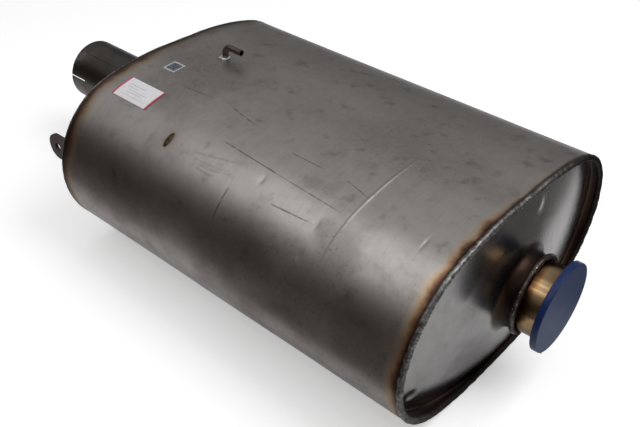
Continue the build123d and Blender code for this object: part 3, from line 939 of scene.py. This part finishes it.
@dataclass
class EndPlate:
    """A dished end plate with its flange and the neck pulled out round its pipe."""

    end: End
    neck_radius: float
    neck_end: float = 0.349
    neck_steps: int = 18
    neck_swing: float = 1.3
    dish_radius: float = 1.080
    dish_crown: float = 0.005017
    dish_rows: int = 44
    pull: float = 0.014
    pull_reach: float = 0.078
    flare_foot: float = 0.0645
    corner: float = 0.003
    corner_steps: int = 5
    flange_steps: int = 3
    flange_gap: float = 0.0003
    waviness: float = 0.0004
    spacing: float = 0.0045
    tilt: float = 0.0
    bumps: tuple[tuple[float, float, float, float], ...] = ()

    def _dish(self, radius: float) -> float:
        """Return X of the dish at a distance from the axis."""
        centre = RIM + self.dish_crown - self.dish_radius
        pulled = self.pull * math.exp(-((radius / self.pull_reach) ** 2))
        return centre + math.sqrt(self.dish_radius**2 - radius**2) + pulled

    def _neck(self) -> list[tuple[float, float]]:
        """Return X and radius of the neck and its flare, from the free edge to the dish."""
        foot = self._dish(self.flare_foot)
        slope = (self._dish(self.flare_foot + 0.001) - foot) / 0.001
        reach = self.neck_swing * (self.neck_end - foot)
        found = []
        for step in range(self.neck_steps + 1):
            share = step / self.neck_steps
            first = 2 * share**3 - 3 * share**2 + 1
            last = 1 - first
            leave = share**3 - 2 * share**2 + share
            arrive = share**3 - share**2
            x = first * self.neck_end + last * foot + reach * (slope * arrive - leave)
            found.append((x, first * self.neck_radius + last * self.flare_foot + reach * arrive))
        return found

    def _lift(self, place: Vector) -> float:
        """Return how far bumps and slow waves push a point of the dish outwards."""
        rise = self.waviness * noise.noise(place * 11.0)
        for across, height, size, lift in self.bumps:
            far = (place.y - across) ** 2 + (place.z - height) ** 2
            rise += lift * math.exp(-far / size**2)
        return rise

    def _line(self, neck: list[tuple[float, float]], rim: Vector, out: Vector) -> list[Vector]:
        """Return one line of points from the neck's edge to the rim.

        Args:
            neck: X and radius of the neck's points.
            rim: The rim's point, from the axis.
            out: The rim's outward normal.

        Returns:
            The points, with X towards this end and the axis at zero.
        """
        ray = rim.normalized()
        ahead = Vector((1.0, 0.0, 0.0))
        line = [ahead * x + ray * radius for x, radius in neck]
        foot = ray * neck[-1][1]
        corner_foot = rim - out * self.corner
        for step in range(1, self.dish_rows + 1):
            share = step / self.dish_rows
            spot = foot + (corner_foot - foot) * share
            lift = self._lift(spot + Vector((0.0, 0.0, AXIS_HEIGHT))) * min(1.0, share * 6)
            lean = self.tilt * spot.y * min(1.0, share * 3)
            line.append(ahead * (self._dish(spot.length) + lift + lean) + spot)
        x = self._dish(corner_foot.length) + self.tilt * corner_foot.y
        x = min(x, RIM - self.corner - self.flange_gap)
        for step in range(1, self.corner_steps + 1):
            angle = math.pi / 2 * step / self.corner_steps
            spot = corner_foot + out * self.corner * math.sin(angle)
            line.append(ahead * (x + self.corner * (1 - math.cos(angle))) + spot)
        x += self.corner
        steps = range(1, self.flange_steps + 1)
        return line + [ahead * (x + (RIM - x) * step / self.flange_steps) + rim for step in steps]

    def build(self) -> Piece:
        """Model the plate's sheet.

        Returns:
            The plate.
        """
        neck = self._neck()
        axis = Vector((0.0, 0.0, AXIS_HEIGHT))
        outline = Oval(SHEET + PLATE_SHEET).points(self.spacing)
        lines = [self._line(neck, place - axis, out) for place, out in outline]
        rings = [
            [Vector((spot.x * self.end.value, spot.y, spot.z + AXIS_HEIGHT)) for spot in ring]
            for ring in zip(*lines)
        ]
        piece = skin(self.end.name.lower() + "_plate_skin", rings)
        self._face_out(piece)
        thicken(piece, PLATE_SHEET)
        shade(piece)
        return piece

    def _face_out(self, piece: Piece) -> None:
        """Turn the skin's faces to the outside of the silencer.

        Args:
            piece: The skin.
        """
        dish = [face for face in piece.data.polygons if abs(face.normal.x) > 0.9]
        if sum(face.normal.x for face in dish) * self.end.value < 0:
            make_active(piece)
            bpy.ops.object.mode_set(mode="EDIT")
            bpy.ops.mesh.select_all(action="SELECT")
            bpy.ops.mesh.flip_normals()
            bpy.ops.object.mode_set(mode="OBJECT")

    def dressing(self, effects: Effects) -> bpy.types.Material:
        """Return the half-bright finish of the plate, brown round the neck, with soot and painted shade on
        the flange wall at the rim.

        Args:
            effects: The shared node groups.

        Returns:
            The material.
        """
        layers = Metal(
            "half bright plate " + self.end.name.lower(),
            rgb(0.285, 0.272, 0.272),
            rgb(0.190, 0.178, 0.176),
            roughness=0.21,
            relief=0.02,
            marks=13.0,
            lines=20.0,
            run=26.0,
            uneven=0.05,
        ).start(effects)
        graph = layers.graph
        radial = graph.vector("SUBTRACT", layers.place, (0.0, 0.0, AXIS_HEIGHT))
        radius = graph.vector("LENGTH", graph.vector("MULTIPLY", radial, (0.0, 1.0, 1.0)))
        off = graph.math("SUBTRACT", radius, self.neck_radius)
        layers.tint(off, 0.020, 0.5, 0.8)
        layers.cover(layers.clouds(15.0, 0.50, 0.72), rgb(0.130, 0.120, 0.118), 0.40)
        layers.cover(layers.clouds(240.0, 0.62, 0.72), rgb(0.090, 0.075, 0.068), 0.35)
        flare = graph.outside(off, 0.008, 0.017)
        layers.cover(flare, rgb(0.017, 0.010, 0.008), 0.95)
        layers.roughen(flare, 0.10)
        # Soot and painted shade: the flange wall and its corner in the recess at the rim go dark brown by
        # depth, which also dims the corner's highlight.
        wall = graph.outside(graph.math("ABSOLUTE", graph.facing()), 0.82, 0.955)
        wall = graph.math("MULTIPLY", wall, graph.between(radius, 0.118, 0.130))
        depth = graph.math("SUBTRACT", RIM, graph.math("ABSOLUTE", graph.axes(layers.place)[0]))
        soot_and_painted_shade = graph.ramp(
            graph.math("MULTIPLY", depth, 30.0),
            (
                (0.0, rgb(0.060, 0.036, 0.026)),
                (0.20, rgb(0.035, 0.020, 0.015)),
                (0.36, rgb(0.080, 0.048, 0.033)),
                (0.50, rgb(0.035, 0.022, 0.018)),
                (0.9, rgb(0.045, 0.030, 0.025)),
            ),
        )
        layers.cover(wall, soot_and_painted_shade, 0.97)
        layers.roughen(wall, 0.18)
        return layers.finish(0.0003)


@dataclass
class Bead:
    """A rippled weld bead laid along a closed line."""

    name: str
    half_width: float
    height: float
    pitch: float = 0.0030
    ripple: float = 0.00035
    lump: float = 0.00045
    swirl: float = 0.55
    sides: int = 14
    step: float = 0.0006
    ripple_scale: float = 160.0
    lump_scale: float = 95.0

    def build(self, path: list[tuple[Vector, Vector]], sign: int) -> Piece:
        """Model the bead, nowhere below the floor.

        Args:
            path: Points of its middle line and the direction that its width follows.
            sign: Which way along X it stands proud.

        Returns:
            The bead.
        """
        length = sum((path[n][0] - path[n - 1][0]).length for n in range(len(path)))
        waves = round(length / self.pitch)
        rings = []
        gone = 0.0
        for number, (place, out) in enumerate(path):
            if number:
                gone += (place - path[number - 1][0]).length
            ring = []
            for side in range(self.sides):
                angle = 2 * math.pi * side / self.sides
                phase = gone / length * waves + self.swirl * math.cos(angle) ** 2
                saw = (phase + 0.5 * noise.noise(place * self.ripple_scale)) % 1.0
                swell = self.ripple * (0.5 - saw) if math.sin(angle) > -0.3 else 0.0
                lump = self.lump * noise.noise(place * self.lump_scale + out * math.cos(angle) * 0.6)
                spot = place + out * ((self.half_width + lump) * math.cos(angle))
                high = (self.height + lump + swell) * math.sin(angle)
                ring.append(Vector((spot.x + sign * high, spot.y, max(spot.z, 0.0))))
            rings.append(ring)
        piece = skin(self.name, rings, closed=True)
        face_outwards(piece)
        shade(piece, 50.0)
        return piece

    def round_oval(self, inset: float, end: End) -> Piece:
        """Lay the bead along the shell's rim.

        Args:
            inset: How far its middle lies inside the shell's outer face.
            end: The end of the silencer that it closes.

        Returns:
            The bead.
        """
        x = end.value * RIM
        outline = Oval(inset).points(self.step)
        return self.build([(Vector((x, place.y, place.z)), out) for place, out in outline], end.value)

    def round_pipe(self, radius: float, x: float, end: End) -> Piece:
        """Lay the bead round a pipe.

        Args:
            radius: Radius of its middle line.
            x: Distance of its middle from the silencer's middle.
            end: The end of the silencer that it is on.

        Returns:
            The bead.
        """
        count = math.ceil(2 * math.pi * radius / self.step)
        middle = Vector((end.value * x, 0.0, AXIS_HEIGHT))
        angles = (2 * math.pi * number / count for number in range(count))
        outs = [Vector((0.0, math.cos(angle), math.sin(angle))) for angle in angles]
        return self.build([(middle + radius * out, out) for out in outs], end.value)


@dataclass
class Welds:
    """The beads of the rims, pipes, lug, tap and plug."""

    pipe_x: float = 0.3492
    outlet_radius: float = 0.0540
    inlet_radius: float = 0.0565
    tap_foot: Point = (-0.216, 0.0, 0.2842)
    collar_radius: float = 0.0056
    collar_thickness: float = 0.0026
    plug_centre: Point = (-0.133, -0.1888, 0.2533)
    plug_tilt: float = 57.5
    plug_length: float = 0.024
    plug_width: float = 0.0085
    plug_rise: float = 0.0013

    def build(self, shop: Workshop) -> None:
        """Model and dress every weld.

        Args:
            shop: The workshop.
        """
        self._rims(shop)
        self._rings(shop)
        bright = Weld(
            "small bright bead", rgb(0.78, 0.77, 0.76), rgb(0.42, 0.40, 0.39), rgb(0.92, 0.92, 0.92)
        ).dressing(shop.effects)
        shop.dress("hanger_lug_weld", bright)
        shop.fit(self._tap_collar(), bright, "small_weld", "pressure_tap_weld")
        brown = Weld(
            "brown plug weld",
            rgb(0.085, 0.056, 0.038),
            rgb(0.030, 0.019, 0.014),
            rgb(0.24, 0.19, 0.15),
            roughness=0.42,
            speckle=0.4,
        ).dressing(shop.effects)
        shop.fit(self._plug(), brown, "plug_weld", "plug_weld")

    @staticmethod
    def _rims(shop: Workshop) -> None:
        """Lay the beads over the edges of shell and flanges.

        Args:
            shop: The workshop.
        """
        steel = Weld(
            "grey rim bead",
            rgb(0.205, 0.200, 0.196),
            rgb(0.070, 0.062, 0.056),
            rgb(0.52, 0.52, 0.52),
            patches=160.0,
            speckle=0.40,
            soot_and_painted_shade=True,
        ).dressing(shop.effects)
        near = Bead("outlet_rim_bead", 0.0045, 0.0042, pitch=0.0038, ripple=0.0013, lump=0.0008)
        shop.fit(near.round_oval(0.0039, End.OUTLET), steel, "rim_weld", "outlet_rim_weld")
        far = Bead("inlet_rim_bead", 0.0026, 0.0026)
        shop.fit(far.round_oval(0.0024, End.INLET), steel, "rim_weld", "inlet_rim_weld")

    def _rings(self, shop: Workshop) -> None:
        """Lay the beads between the necks and the pipes.

        Args:
            shop: The workshop.
        """
        brown = Weld(
            "brown pipe bead",
            rgb(0.115, 0.092, 0.080),
            rgb(0.022, 0.015, 0.012),
            rgb(0.60, 0.57, 0.54),
            patches=110.0,
        ).dressing(shop.effects)
        for end, radius in ((End.OUTLET, self.outlet_radius), (End.INLET, self.inlet_radius)):
            name = end.name.lower()
            bead = Bead(name + "_ring_bead", 0.0040, 0.0042, pitch=0.0040, ripple=0.0009, lump=0.0009)
            shop.fit(bead.round_pipe(radius, self.pipe_x, end), brown, "pipe_weld", name + "_pipe_weld")

    def _plug(self) -> Piece:
        """Return the lumpy lens of the plug weld, set into the shell."""
        bpy.ops.mesh.primitive_uv_sphere_add(segments=40, ring_count=24, radius=1.0)
        piece = bpy.context.active_object
        piece.name = "plug_bead"
        tilt = math.radians(self.plug_tilt)
        normal = Vector((0.0, -math.cos(tilt), math.sin(tilt)))
        round_way = Vector((0.0, -math.sin(tilt), -math.cos(tilt)))
        centre = Vector(self.plug_centre)

        def moved(point: Vector) -> Vector:
            """Return a sphere's point as pressed flat, bent and placed."""
            long_way = point.y * self.plug_length / 2
            sink = long_way**2 / (2 * Oval().side_radius)
            lumps = 0.0004 * noise.noise(point * 3.1) if point.z > 0 else 0.0
            high = point.z * self.plug_rise - sink + lumps
            wide = Vector((point.x * self.plug_width / 2, 0.0, 0.0))
            return centre + wide + round_way * long_way + normal * high

        move_points(piece, moved)
        face_outwards(piece)
        shade(piece, 60.0)
        return piece

    def _tap_collar(self) -> Piece:
        """Return the uneven collar at the foot of the tap."""
        bpy.ops.mesh.primitive_torus_add(
            location=self.tap_foot,
            major_segments=56,
            minor_segments=14,
            major_radius=self.collar_radius,
            minor_radius=self.collar_thickness,
        )
        bpy.ops.object.transform_apply(location=True, rotation=True, scale=True)
        piece = bpy.context.active_object
        piece.name = "tap_bead"
        middle = Vector(self.tap_foot)

        def moved(point: Vector) -> Vector:
            """Return a ring's point as swollen, most of all towards -Y."""
            off = point - middle
            swell = 1.0 + 0.30 * noise.noise(point * 190.0)
            return middle + off * swell * (1.0 + max(0.0, -off.y) * 55.0)

        move_points(piece, moved)
        shade(piece, 60.0)
        return piece


@dataclass
class Pipes:
    """The outlet stub, the inlet socket and the tubes and baffles that they lead to."""

    inlet_radius: float = 0.0533
    neck_edge: float = 0.351
    seam_angle: float = 119.0
    seam_start: float = -0.5675
    seam_end: float = -0.353
    seam_half_width: float = 0.0013
    seam_height: float = 0.0007
    seam_steps: int = 180
    seam_sides: int = 10
    inner: tuple[str, ...] = (
        "outlet_perforated_tube",
        "inlet_perforated_tube",
        "outlet_baffle",
        "middle_baffle",
        "inlet_baffle",
        "near_transfer_tube",
        "far_transfer_tube",
    )

    def build(self, shop: Workshop) -> None:
        """Dress the pipes and lay the inlet pipe's seam.

        Args:
            shop: The workshop.
        """
        shop.dress("outlet_pipe", self._gold(shop.effects))
        dull = self._dull(shop.effects)
        shop.dress("inlet_pipe", dull)
        shop.fit(self._seam(), dull, "socket_pipe")
        metal = Metal("inner sheet", rgb(0.38, 0.36, 0.34), rgb(0.24, 0.22, 0.21), 0.38)
        sheet = metal.start(shop.effects).finish(0.0004)
        for name in self.inner:
            shop.dress(name, sheet)

    def _seam(self) -> Piece:
        """Return the thin raised seam along the inlet pipe, tapered to a point at both ends."""
        angle = math.radians(self.seam_angle)
        out = Vector((0.0, math.cos(angle), math.sin(angle)))
        side = Vector((0.0, -math.sin(angle), math.cos(angle)))
        foot = Vector((0.0, 0.0, AXIS_HEIGHT)) + out * (self.inlet_radius - 0.0002)
        rings = []
        for step in range(self.seam_steps + 1):
            share = step / self.seam_steps
            x = self.seam_start + (self.seam_end - self.seam_start) * share
            taper = min(1.0, 8 * min(share, 1.0 - share))
            ring = []
            for part in range(self.seam_sides):
                turn = 2 * math.pi * part / self.seam_sides
                wobble = 1.0 + 0.25 * noise.noise(Vector((x * 300.0, turn, 0.0)))
                wide = side * (self.seam_half_width * math.cos(turn) * taper)
                high = out * (self.seam_height * math.sin(turn) * wobble * taper)
                ring.append(foot + Vector((x, 0.0, 0.0)) + wide + high)
            rings.append(ring)
        piece = skin("inlet_pipe_seam", rings)
        face_outwards(piece)
        shade(piece, 50.0)
        return piece

    def _gold(self, effects: Effects) -> bpy.types.Material:
        """Return the straw and brown heat tint of the outlet stub, with painted shade on its underside.

        Args:
            effects: The shared node groups.

        Returns:
            The material.
        """
        layers = Metal(
            "gold tinted stub",
            rgb(0.31, 0.195, 0.092),
            rgb(0.11, 0.068, 0.036),
            roughness=0.10,
            relief=0.03,
            uneven=0.05,
        ).start(effects)
        graph = layers.graph
        along, _, height = graph.axes(layers.place)
        layers.tint(graph.math("SUBTRACT", along, self.neck_edge), 0.027, 0.5)
        # Painted shade: darkens the underside of the stub, below its axis.
        layers.cover(graph.outside(height, 0.090, 0.136), rgb(0.030, 0.019, 0.012), 0.75)
        return layers.finish(0.0003)

    def _dull(self, effects: Effects) -> bpy.types.Material:
        """Return the dark, unevenly dull finish of the inlet socket, with a painted highlight in patches
        round its mouth.

        Args:
            effects: The shared node groups.

        Returns:
            The material.
        """
        base, dark = rgb(0.085, 0.075, 0.067), rgb(0.045, 0.038, 0.033)
        layers = Metal("dull socket pipe", base, dark, 0.27, marks=22.0).start(effects)
        graph = layers.graph
        along = graph.axes(layers.place)[0]
        light = layers.clouds(16.0, 0.50, 0.66)
        layers.cover(light, rgb(0.17, 0.155, 0.14), 0.35)
        # Painted highlight: patches of lighter metal in a band round the inlet's mouth.
        painted_mouth_highlight = graph.math("MULTIPLY", graph.outside(along, -0.566, -0.545), light)
        layers.cover(painted_mouth_highlight, rgb(0.42, 0.40, 0.38), 0.8)
        layers.tint(graph.math("SUBTRACT", self.seam_end + 0.0005, along), 0.022, 0.6, 0.8)
        return layers.finish(0.0004)


@dataclass
class Fittings:
    """The lug, the tap, the cap and the stickers."""

    label_middle: float = -0.2435
    label_half: float = 0.0375
    band: float = 0.0032
    rules: tuple[tuple[float, float, float, float], ...] = (
        (-0.270, -0.236, -0.1420, 0.0009),
        (-0.270, -0.248, -0.1475, 0.0007),
        (-0.262, -0.222, -0.1525, 0.0007),
        (-0.262, -0.230, -0.1565, 0.0007),
        (-0.270, -0.215, -0.1625, 0.0005),
    )
    sticker_centre: tuple[float, float] = (-0.250, -0.0745)
    sticker_half: float = 0.0093

    def build(self, shop: Workshop) -> None:
        """Dress the fittings.

        Args:
            shop: The workshop.
        """
        lug = Metal("brown lug plate", rgb(0.150, 0.112, 0.098), rgb(0.070, 0.052, 0.044), 0.36)
        tap = Metal("tap tube", rgb(0.150, 0.128, 0.104), rgb(0.060, 0.049, 0.040), 0.24, marks=60.0)
        shop.dress("hanger_lug", lug.start(shop.effects).finish(0.0004))
        shop.dress("pressure_tap", tap.start(shop.effects).finish(0.0004))
        shop.dress("outlet_cap", self._plastic(shop.effects))
        shop.dress("label", self._paper(shop.effects))
        shop.dress("data_sticker", self._sticker(shop.effects))

    @staticmethod
    def _plastic(effects: Effects) -> bpy.types.Material:
        """Return the blue moulded plastic of the cap, dulled on its face.

        Args:
            effects: The shared node groups.

        Returns:
            The material.
        """
        material, graph = blank("blue moulded plastic")
        place = graph.place()
        face = graph.between(graph.facing(), 0.70, 0.98)
        dust = graph.use(effects.clouds, Vector=place, Scale=26.0, Low=0.40, High=0.70)[0]
        dusty = graph.mix(dust, rgb(0.009, 0.026, 0.088), rgb(0.020, 0.037, 0.098))
        colour = graph.mix(face, rgb(0.003, 0.016, 0.080), dusty)
        gloss = graph.math("MULTIPLY_ADD", dust, 0.08, graph.math("MULTIPLY_ADD", face, 0.16, 0.36))
        normal = graph.relief(graph.noise(place, 130.0, 4.0, 0.6), 0.0004, 0.6)
        graph.surface(colour, gloss, Specular_IOR_Level=0.3, Normal=normal)
        return material

    def _paper(self, effects: Effects) -> bpy.types.Material:
        """Return the white label with a red band at each short edge and plain grey rules.

        Args:
            effects: The shared node groups.

        Returns:
            The material.
        """
        material, graph = blank("white label")
        place = graph.place()
        along, across, _ = graph.axes(place)
        off = graph.math("ABSOLUTE", graph.math("SUBTRACT", along, self.label_middle))
        dust = graph.math("MULTIPLY", graph.use(effects.clouds, Vector=place, Scale=70.0)[0], 0.10)
        colour = graph.mix(dust, rgb(0.66, 0.645, 0.66), rgb(0.42, 0.40, 0.39))
        for start, end, line, half in self.rules:
            inside = graph.between(along, start, start + 0.0006)
            inside = graph.math("MULTIPLY", inside, graph.outside(along, end - 0.0006, end))
            close = graph.math("ABSOLUTE", graph.math("SUBTRACT", across, line))
            rule = graph.math("MULTIPLY", inside, graph.outside(close, half * 0.6, half))
            colour = graph.mix(graph.math("MULTIPLY", rule, 0.45), colour, rgb(0.20, 0.20, 0.21))
        edge = self.label_half - self.band
        band = graph.between(off, edge - 0.0002, edge + 0.0002)
        graph.surface(graph.mix(band, colour, rgb(0.43, 0.055, 0.075)), 0.42)
        return material

    def _sticker(self, effects: Effects) -> bpy.types.Material:
        """Return the small square sticker: a mottled blue-grey field with a pale border.

        Args:
            effects: The shared node groups.

        Returns:
            The material.
        """
        material, graph = blank("square sticker")
        place = graph.place()
        offs = [
            graph.math("ABSOLUTE", graph.math("SUBTRACT", axis, middle))
            for axis, middle in zip(graph.axes(place), self.sticker_centre)
        ]
        off = graph.math("MAXIMUM", *offs)
        field = graph.outside(off, self.sticker_half - 0.0004, self.sticker_half + 0.0004)
        mottle = graph.use(effects.clouds, Vector=place, Scale=330.0, Low=0.40, High=0.60)[0]
        inner = graph.mix(mottle, rgb(0.090, 0.108, 0.135), rgb(0.030, 0.036, 0.048))
        graph.surface(graph.mix(field, rgb(0.36, 0.365, 0.37), inner), 0.38)
        return material


@dataclass
class Studio:
    """Floor, lamps, world and camera."""

    camera_place: Point = (0.6443, -0.8017, 0.8468)
    azimuth: float = 39.4
    elevation: float = 36.2
    roll: float = 2.5
    lens: float = 46.37
    floor_side: float = 40.0
    camera_glow: float = 0.40
    mirror_glow: float = 0.12

    @staticmethod
    def _card(name: str, colour: Colour, glow: Callable[[Graph], Socket] | None = None) -> Piece:
        """Return a stage plane of one metre with a matt finish, lying at the origin.

        Args:
            name: The plane's name.
            colour: Its colour.
            glow: Gives the strength of a white glow, if it has one.

        Returns:
            The plane.
        """
        bpy.ops.mesh.primitive_plane_add(size=1.0, location=ORIGIN)
        card = bpy.context.active_object
        card.name = name
        material, graph = blank(name)
        lit = {"Emission_Color": rgb(1.0, 1.0, 1.0), "Emission_Strength": glow(graph)} if glow else {}
        graph.surface(colour, 0.9, **lit)
        card.data.materials.append(material)
        return card

    def _glow(self, graph: Graph) -> Socket:
        """Whiten a card for the camera, and a little for the metal, so that its shadow stays."""
        paths = graph.node("ShaderNodeLightPath").outputs
        mirrored = graph.math("MULTIPLY", paths["Is Glossy Ray"], self.mirror_glow)
        return graph.math("MULTIPLY_ADD", paths["Is Camera Ray"], self.camera_glow, mirrored)

    def _flag(self, name: str, colour: Colour) -> Piece:
        """Return a card that shows in reflections only.

        Args:
            name: The card's name.
            colour: Its colour.

        Returns:
            The card.
        """
        flag = self._card(name, colour)
        flag.visible_camera = False
        flag.visible_diffuse = False
        flag.visible_shadow = False
        return flag

    def _lie(self, name: str, tone: float, low: tuple[float, float], high: tuple[float, float]) -> None:
        """Lay a flag flat just over the floor.

        Args:
            name: Its name.
            tone: Its grey.
            low: X and Y of its lowest corner.
            high: X and Y of its highest corner.
        """
        flag = self._flag(name, rgb(tone, tone * 0.95, tone * 0.92))
        flag.location = ((low[0] + high[0]) / 2, (low[1] + high[1]) / 2, 0.001)
        flag.scale = (high[0] - low[0], high[1] - low[1], 1.0)

    def stage(self) -> None:
        """Lay the pale floor, and flags that darken what the shell and plate reflect."""
        floor = self._card("pale_floor", rgb(0.82, 0.82, 0.82), self._glow)
        floor.scale = (self.floor_side, self.floor_side, 1.0)
        flag = self._flag("dark_flag", rgb(0.125, 0.100, 0.088))
        toward = Vector((-0.51, -0.84, 0.0)).normalized()
        flag.matrix_world = (
            Matrix.Translation(Vector((0.05, -0.25, 0.25)) + 0.80 * toward)
            @ toward.to_track_quat("Z", "Y").to_matrix().to_4x4()
            @ Matrix.Diagonal((2.4, 0.50, 1.0, 1.0))
        )
        self._lie("near_flag", 0.21, (-0.05, -1.40), (0.70, -0.31))
        self._lie("far_flag", 0.20, (-1.40, -1.40), (-0.05, -0.38))
        self._lie("plate_flag", 0.16, (0.41, 0.16), (2.20, 1.70))

    @staticmethod
    def world() -> None:
        """Light the scene softly from above, with a darker horizon that the camera sees white."""
        world = bpy.data.worlds.new("soft studio")
        bpy.context.scene.world = world
        world.use_nodes = True
        graph = Graph(world.node_tree)
        height = graph.axes(graph.node("ShaderNodeTexCoord").outputs["Generated"])[2]
        sky = graph.ramp(
            graph.math("MULTIPLY_ADD", height, 0.5, 0.5),
            (
                (0.0, rgb(0.30, 0.30, 0.30)),
                (0.50, rgb(0.075, 0.070, 0.066)),
                (0.60, rgb(0.085, 0.080, 0.077)),
                (0.70, rgb(0.25, 0.248, 0.247)),
                (0.80, rgb(0.47, 0.47, 0.475)),
                (1.0, rgb(0.55, 0.55, 0.56)),
            ),
        )
        seen = graph.node("ShaderNodeLightPath").outputs["Is Camera Ray"]
        colour = graph.mix(seen, sky, rgb(1.0, 1.0, 1.0))
        graph.name_feed(world.node_tree.nodes["Background"], {"Color": colour, "Strength": 1.0})

    @staticmethod
    def softbox(name: str, place: Point, aim: Point, size: tuple[float, float], watts: float) -> None:
        """Hang a rectangular area lamp.

        Args:
            name: The lamp's name.
            place: Where it hangs.
            aim: The point that it faces.
            size: Its sizes along and across the silencer.
            watts: Its power.
        """
        lamp = bpy.data.lights.new(name, "AREA")
        lamp.shape = "RECTANGLE"
        lamp.size, lamp.size_y = size
        lamp.energy = watts
        holder = bpy.data.objects.new(name, lamp)
        bpy.context.scene.collection.objects.link(holder)
        back = (Vector(place) - Vector(aim)).normalized()
        side = (Vector((1.0, 0.0, 0.0)) - back * back.x).normalized()
        turn = Matrix((side, back.cross(side), back)).transposed().to_4x4()
        holder.matrix_world = Matrix.Translation(place) @ turn

    def lamps(self) -> None:
        """Hang one box over the outlet end, and two strips and a box over the lug's side."""
        self.softbox("overhead box", (1.3, 0.5, 2.3), (0.2, 0.0, 0.0), (1.5, 1.5), 32.0)
        self.softbox("upper strip", (-0.40, -0.50, 1.80), (0.1, -0.05, 0.2), (1.5, 0.10), 1.0)
        self.softbox("lower strip", (-0.40, -0.98, 1.52), (0.1, -0.10, 0.2), (1.5, 0.10), 1.0)
        self.softbox("shoulder box", (-0.38, -0.70, 1.88), (0.1, -0.10, 0.2), (1.4, 1.7), 5.6)

    def camera(self) -> None:
        """Place the camera at the photograph's view."""
        turn, lift, lean = (math.radians(a) for a in (self.azimuth, self.elevation, self.roll))
        level = Vector((math.cos(turn), math.sin(turn), 0.0))
        flat = math.cos(lift)
        back = Vector((math.sin(turn) * flat, -math.cos(turn) * flat, math.sin(lift)))
        upright = back.cross(level)
        right = level * math.cos(lean) + upright * math.sin(lean)
        up = upright * math.cos(lean) - level * math.sin(lean)
        data = bpy.data.cameras.new("photograph view")
        data.lens = self.lens
        data.sensor_width = 36.0
        data.sensor_fit = "HORIZONTAL"
        data.clip_start = 0.01
        camera = bpy.data.objects.new("photograph view", data)
        bpy.context.scene.collection.objects.link(camera)
        turned = Matrix((right, up, back)).transposed().to_4x4()
        camera.matrix_world = Matrix.Translation(self.camera_place) @ turned
        bpy.context.scene.camera = camera

    def build(self) -> None:
        """Set up the whole studio."""
        bpy.context.scene.view_settings.view_transform = "Standard"
        self.camera()
        self.stage()
        self.world()
        self.lamps()


def main() -> None:
    """Build the scene in order."""
    logging.basicConfig(level=logging.INFO, format="%(name)s: %(message)s")
    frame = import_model()
    Studio().build()
    shop = Workshop(frame, Effects())
    shell = Shell()
    shop.fit(shell.build(), shell.dressing(shop.effects), "shell_sheet", "shell")
    bumps = (
        (0.0257, 0.2575, 0.012, 0.0030),
        (-0.1918, 0.1818, 0.012, 0.0030),
        (-0.1860, 0.0600, 0.008, -0.0025),
    )
    outlet = EndPlate(End.OUTLET, 0.0528, tilt=0.0297, bumps=bumps)
    for plate in (outlet, EndPlate(End.INLET, 0.0553)):
        node = plate.end.name.lower() + "_end_plate"
        shop.fit(plate.build(), plate.dressing(shop.effects), "end_plate_sheet", node)
    Welds().build(shop)
    Pipes().build(shop)
    Fittings().build(shop)


if __name__ == "__main__":
    main()
